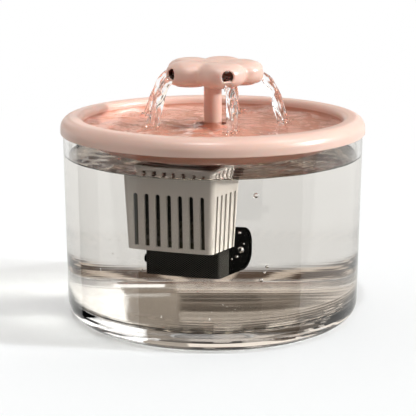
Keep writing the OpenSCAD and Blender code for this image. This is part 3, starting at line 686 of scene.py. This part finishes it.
def stream(i):
    """A stream that leaves its nozzle level and falls in a parabola, with a braided surface."""
    angle = PETAL_ANGLES[i]
    start_r, start_z = PETAL_REACH + PETAL_R - STREAM_INSET, NOZZLE_Z - STREAM_DROP
    run, drop = LANDING_R[i] - start_r, start_z - (BASIN_TOP - STREAM_SUNK)
    phase = np.random.default_rng(20 + i).uniform(0, tau, 8)
    ring = np.arange(STREAM_SIDES) * tau / STREAM_SIDES
    verts = []
    for k in range(STREAM_ROWS):
        t = -0.12 + 1.12 * k / (STREAM_ROWS - 1)      # 0 at the start and 1 where it lands
        out = max(t, 0)
        sway = STREAM_SWAY * out ** 1.5
        side = sway * sin(7 * t + phase[0])
        rho = start_r + run * t + sway * sin(9 * t + phase[1])
        z = start_z - drop * out ** 2
        slope = Vector((run, -2 * drop * out)).normalized()
        size = STREAM_R + STREAM_GROWTH * min(1, out * 3.5) - STREAM_THINNING * out
        rough = STREAM_BRAID[0] + STREAM_BRAID[1] * min(1, out * 1.3)
        lobes = 1 + rough * (
            0.9 * np.cos(2 * ring + 5 * t + phase[2]) + 0.6 * np.cos(3 * ring - 9 * t + phase[3])
            + 0.5 * np.sin(5 * ring + 14 * t + phase[4]) + 0.25 * np.sin(8 * ring - 11 * t + phase[6])
            + 0.35 * sin(19 * t + phase[5]))
        across = side + size * lobes * np.cos(ring)
        above = size * lobes * np.sin(ring)
        r, h = rho - above * slope.y, z + above * slope.x
        x, y = r * cos(angle) - across * sin(angle), r * sin(angle) + across * cos(angle)
        verts += list(np.stack([x, y, h], 1))
    starts = range(0, len(verts), STREAM_SIDES)
    rings = [list(range(start, start + STREAM_SIDES)) for start in starts]
    faces = bands(rings) + [tuple(rings[0][::-1]), tuple(rings[-1])]
    made = piece("stream_%d" % (i + 1), verts, faces, water, "seal")
    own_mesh(made)


def drops(name, spots, recipe, body):
    """Small round drops or bubbles, each (x, y, z, radius)."""
    ball = bmesh.new()
    bmesh.ops.create_icosphere(ball, subdivisions=2, radius=1)
    unit = np.array([v.co for v in ball.verts])
    shape = [tuple(v.index for v in f.verts) for f in ball.faces]
    ball.free()
    verts, faces = [], []
    for x, y, z, radius in spots:
        start = len(verts)
        verts += list(unit * radius * rng.uniform(0.85, 1.1, 3) + np.array([x, y, z]))
        faces += [tuple(start + v for v in f) for f in shape]
    return piece(name, verts, faces, recipe, body)


def splashes():
    """Drops thrown up round each landing, lower the further out they are."""
    for i in range(PETALS):
        cx, cy = landing(i)
        spots = []
        for _ in range(SPLASH_DROPS):
            turn, far = rng.uniform(0, tau), rng.uniform(*SPLASH_FAR) * MM
            height = rng.uniform(*SPLASH_HEIGHT) * MM * (1 - far / SPLASH_REACH)
            radius = rng.uniform(*SPLASH_SIZE) * MM
            spots.append((cx + far * cos(turn), cy + far * sin(turn), BASIN_TOP + height, radius))
        drops("splash_%d" % (i + 1), spots, water, "seal")


def bubbles():
    spots = [tuple(v * MM for v in spot) for spot in BUBBLES]
    for number, spans in FINE_BUBBLES:
        for _ in range(number):
            angle, far, up, radius = [rng.uniform(*span) for span in spans]
            spots.append((far * MM * cos(angle), far * MM * sin(angle), up * MM, radius * MM))
    drops("bubbles", spots, air_bubble, "tank")


bubbles()
flower_head()
tank_water()
basin_water()
for number in range(PETALS):
    stream(number)
splashes()


# ---- camera ----

CAMERA_PLACE = (-2.97 * MM, -784.74 * MM, 246.21 * MM)
CAMERA_TILT = 12.93                       # degrees below level
CAMERA_LENS = 109.55                      # focal length on a 36 mm sensor

camera = bpy.data.objects.new("camera", bpy.data.cameras.new("camera"))
scene.collection.objects.link(camera)
camera.data.sensor_width = 36
camera.data.lens = CAMERA_LENS
camera.location = CAMERA_PLACE
camera.rotation_euler = (radians(90 - CAMERA_TILT), 0, 0)
scene.camera = camera

# ---- floor, room and lamps ----

FLOOR_R = 6
FLOOR_FADE = (0.35, 0.9)                  # from the axis to where the floor starts and ends to turn white
FLOOR = (0.765, 0.795, 0.81)
FLOOR_BOUNCE = (0.38, 0.36, 0.345)        # its colour for light that it throws onto the object
FLOOR_GLOW = 0.12                         # lifts it to the backdrop's white, for the camera alone
FRONT_LEVEL = 0.01                        # painted dark reflection: the floor in front, to rays that a clear wall threw back
FRONT_EDGE = (-120 * MM, -95 * MM)
# Painted shade and painted light: what the clear foot shows of the floor next to it, dark and pale strips:
# how far out, pitch in degrees, and two colours
FOOT_RING = (116 * MM, 132 * MM)
FOOT_PITCH = 9.0
FOOT_PAINTED_SHADE = (0.12, 0.09, 0.07)
FOOT_PAINTED_LIGHT = (0.75, 0.66, 0.56)

BACKDROP = (1.02, 0.92, 0.82)             # the room between its panels
LOW_LIGHT = (1.0, 0.77, 0.65)             # colour of the light from the sides
HIGH_LIGHT = (1.0, 1.0, 0.99)             # and from above
BACK_LEVEL = (0.32, 0.27)                 # how the light grows to the back, and its mean
TOP_LEVEL = 0.42                          # how it grows upwards
# What glossy surfaces show of the room, low panels first. A panel's sides are azimuths from the front
# towards the right, then come its lowest and highest elevation and its colour
REFLECTED = [(-180, 180, -90, 4, (0.85, 0.85, 0.83)), (-125, 100, -28, 4, (0.015, 0.015, 0.015)),
             (-180, 180, -90, -28, (0.6, 0.6, 0.58))]
REFLECTED_SIDES = [(-68, -59, -50, 50, (0.9, 0.9, 0.88)), (-97, -68, -50, 50, (0.6, 0.6, 0.58)),
                   (71, 139, -50, 60, (1.0, 1.0, 0.98))]
# What clear pieces show of the room, low panels first and then its sides
SEEN_LOW = [(-75, 75, 1, 90, (0.30, 0.25, 0.21)), (-180, 180, -90, 1, (1, 1, 1)),
            (-180, 180, 16.8, 21.6, (0.17, 0.135, 0.105)), (-180, 180, 17.6, 18.3, (0.05, 0.038, 0.03)),
            (-180, 180, 19.6, 20.4, (0.50, 0.43, 0.37)), (-180, 180, 20.4, 23.5, (0.02, 0.016, 0.012))]
SEEN_SIDES = [(162, 174, 1, 60, (0.42, 0.365, 0.31)), (95, 162, 1, 60, (1.9, 1.9, 1.88)),
              (50, 95, 16, 60, (0.10, 0.085, 0.07)), (-105, -55, 16, 60, (0.18, 0.15, 0.12))]
# Louvres: lowest and highest elevation, pitch, dark and pale colour
WINDOWS = (23.5, 42, 14, (0.04, 0.03, 0.023), (1.3, 1.2, 1.08))
CEILING = (42, 90, 7, (0.16, 0.125, 0.10), (0.38, 0.31, 0.26))
GLINTS = (4, 36, 20, (0.30, 0.24, 0.20), (1.15, 1.05, 1.0))
MIRRORED = (36, 60, 30, (0.12, 0.09, 0.07), (0.9, 0.84, 0.75))
LOUVRE_WANDER = 0.12                      # how far a strip strays, in radians
LOUVRE_EDGE = 0.25                        # its edges blend where the sine between strips is within this of 0

# Lamps: name, azimuth, elevation, level and spread
SUNS = [("key", 80, 18, 0.85, 2.5), ("high_key", 80, 52, 0.17, 4), ("fill", -10, 70, 0.22, 3)]


def thrown_forward(recipe, path, y):
    """1 on the floor in front, for a ray that a clear wall threw back once on its way there; there the floor
    shows a painted dark reflection.
    """
    once = recipe.maths("COMPARE", path.outputs["Glossy Depth"], 1.0, 0.5)
    few = recipe.maths("LESS_THAN", path.outputs["Transmission Depth"], 4.5)
    some = recipe.maths("GREATER_THAN", path.outputs["Transmission Depth"], 0.5)
    mask = recipe.maths("MULTIPLY", recipe.maths("MULTIPLY", once, few), some)
    return recipe.maths("MULTIPLY", mask, recipe.remap(y, 1, 0, *FRONT_EDGE))


def floor_material():
    recipe = Recipe("floor", FLOOR, 0.6, Specular_IOR_Level=0.0, Emission_Color=(1, 1, 1, 1))
    path = recipe.node("ShaderNodeLightPath")
    glow = recipe.remap(path.outputs["Is Camera Ray"], 0, FLOOR_GLOW, 0, 1)
    recipe.link(glow, recipe.shader.inputs["Emission Strength"])
    x, y, z = recipe.xyz(recipe.place())
    length = recipe.node("ShaderNodeVectorMath", operation="LENGTH")
    recipe.link(recipe.place(), length.inputs[0])
    far = length.outputs["Value"]

    # painted shade and painted light: dark and pale strips on the floor next to the foot, seen only through
    # clear pieces
    turn = recipe.maths("ARCTAN2", x, y)
    wave = recipe.maths("SINE", recipe.maths("MULTIPLY", turn, tau / radians(FOOT_PITCH)))
    strips = recipe.mix(recipe.remap(wave, 0, 1, 0.1, 0.7), FOOT_PAINTED_SHADE, FOOT_PAINTED_LIGHT)
    near = recipe.remap(far, 1, 0, *FOOT_RING)
    below = recipe.maths("MULTIPLY", near, path.outputs["Is Transmission Ray"])
    plain = recipe.mix(path.outputs["Is Diffuse Ray"], FLOOR, FLOOR_BOUNCE)
    recipe.blend(below, plain, strips)

    white = recipe.node("ShaderNodeEmission", Color=(1, 1, 1, 1), Strength=1.0)
    faded = recipe.mix_shader(recipe.remap(far, 0, 1, *FLOOR_FADE), recipe.shader.outputs["BSDF"],
                              white.outputs["Emission"])
    # painted dark reflection of the floor in front
    painted_dark_reflection = recipe.node("ShaderNodeEmission", Color=(1, 1, 1, 1), Strength=FRONT_LEVEL)
    mixed = recipe.mix_shader(thrown_forward(recipe, path, y), faded, painted_dark_reflection.outputs["Emission"])
    recipe.link(mixed, recipe.output.inputs["Surface"])
    return recipe.material


def floor():
    """A round pale floor that turns into the white background towards its edge."""
    work = bmesh.new()
    bmesh.ops.create_circle(work, cap_ends=True, segments=96, radius=FLOOR_R)
    mesh = bpy.data.meshes.new("floor")
    work.to_mesh(mesh)
    work.free()
    mesh.materials.append(floor_material())
    made = bpy.data.objects.new("floor", mesh)
    scene.collection.objects.link(made)
    made.visible_glossy = False


class World(Nodes):
    """White for the camera, and for reflections and clear pieces a plain room with panels."""

    def __init__(self):
        world = bpy.data.worlds.new("studio")
        scene.world = world
        world.use_nodes = True
        super().__init__(world.node_tree)
        self.tree.nodes.clear()
        self.direction = self.node("ShaderNodeTexCoord").outputs["Generated"]
        x, self.y, self.z = self.xyz(self.direction)
        self.azimuth = self.maths("ARCTAN2", x, self.maths("MULTIPLY", self.y, -1.0))
        self.elevation = self.maths("ARCSINE", self.z)

    def step(self, value, edge, soft=0.5):
        return self.remap(value, 0, 1, radians(edge - soft), radians(edge + soft), smooth=True)

    def room(self, panels):
        """Panels on a plain backdrop, each on top of those before it."""
        colour = BACKDROP
        for left, right, low, high, shade in panels:
            mask = self.maths("SUBTRACT", self.step(self.elevation, low), self.step(self.elevation, high))
            if right - left < 360:
                band = self.maths("SUBTRACT", self.step(self.azimuth, left), self.step(self.azimuth, right))
                mask = self.maths("MULTIPLY", mask, band)
            colour = self.mix(mask, colour, shade)
        made = self.node("ShaderNodeBackground", Strength=1.0)
        self.link(colour, made.inputs["Color"])
        return made

    def louvres(self, low, high, pitch, dark, pale):
        """A panel of dark and pale strips that stand side by side."""
        wander = self.remap(self.noise(3, 1, self.direction), -LOUVRE_WANDER, LOUVRE_WANDER)
        turn = self.maths("MULTIPLY", self.maths("ADD", self.azimuth, wander), tau / radians(pitch))
        strips = self.remap(self.maths("SINE", turn), 0, 1, -LOUVRE_EDGE, LOUVRE_EDGE)
        return -180, 180, low, high, self.mix(strips, dark, pale)

    def ambient(self):
        """The light that falls on the object from all round."""
        made = self.node("ShaderNodeBackground")
        self.link(self.mix(self.z, LOW_LIGHT, HIGH_LIGHT), made.inputs["Color"])
        front = self.maths("MULTIPLY_ADD", self.y, *BACK_LEVEL)
        self.link(self.maths("MULTIPLY_ADD", self.z, TOP_LEVEL, front), made.inputs["Strength"])
        return made

    def build(self):
        path = self.node("ShaderNodeLightPath")
        mirrored = self.room(REFLECTED + [self.louvres(*GLINTS), self.louvres(*MIRRORED)] + REFLECTED_SIDES)
        through = self.room(SEEN_LOW + [self.louvres(*WINDOWS), self.louvres(*CEILING)] + SEEN_SIDES)
        white = self.node("ShaderNodeBackground", Color=(1, 1, 1, 1), Strength=1.0)
        shader = self.ambient().outputs[0]
        for ray, shown in (("Is Glossy Ray", mirrored), ("Is Transmission Ray", through),
                           ("Is Camera Ray", white)):
            shader = self.mix_shader(path.outputs[ray], shader, shown.outputs[0])
        output = self.node("ShaderNodeOutputWorld")
        self.link(shader, output.inputs["Surface"])


def sun(name, azimuth, elevation, level, spread):
    """A lamp so far off that its rays are parallel; level is how bright a white face turned to it gets."""
    data = bpy.data.lights.new(name, "SUN")
    data.energy = level * pi
    data.angle = radians(spread)
    made = bpy.data.objects.new(name, data)
    scene.collection.objects.link(made)
    flat = cos(radians(elevation))
    towards = Vector((flat * sin(radians(azimuth)), -flat * cos(radians(azimuth)), sin(radians(elevation))))
    made.rotation_euler = towards.to_track_quat("Z", "Y").to_euler()


floor()
World().build()
for lamp in SUNS:
    sun(*lamp)
scene.cycles.caustics_reflective = False
scene.view_settings.view_transform = "Standard"
scene.cycles.max_bounces = 32
scene.cycles.transmission_bounces = 24
scene.cycles.transparent_max_bounces = 32
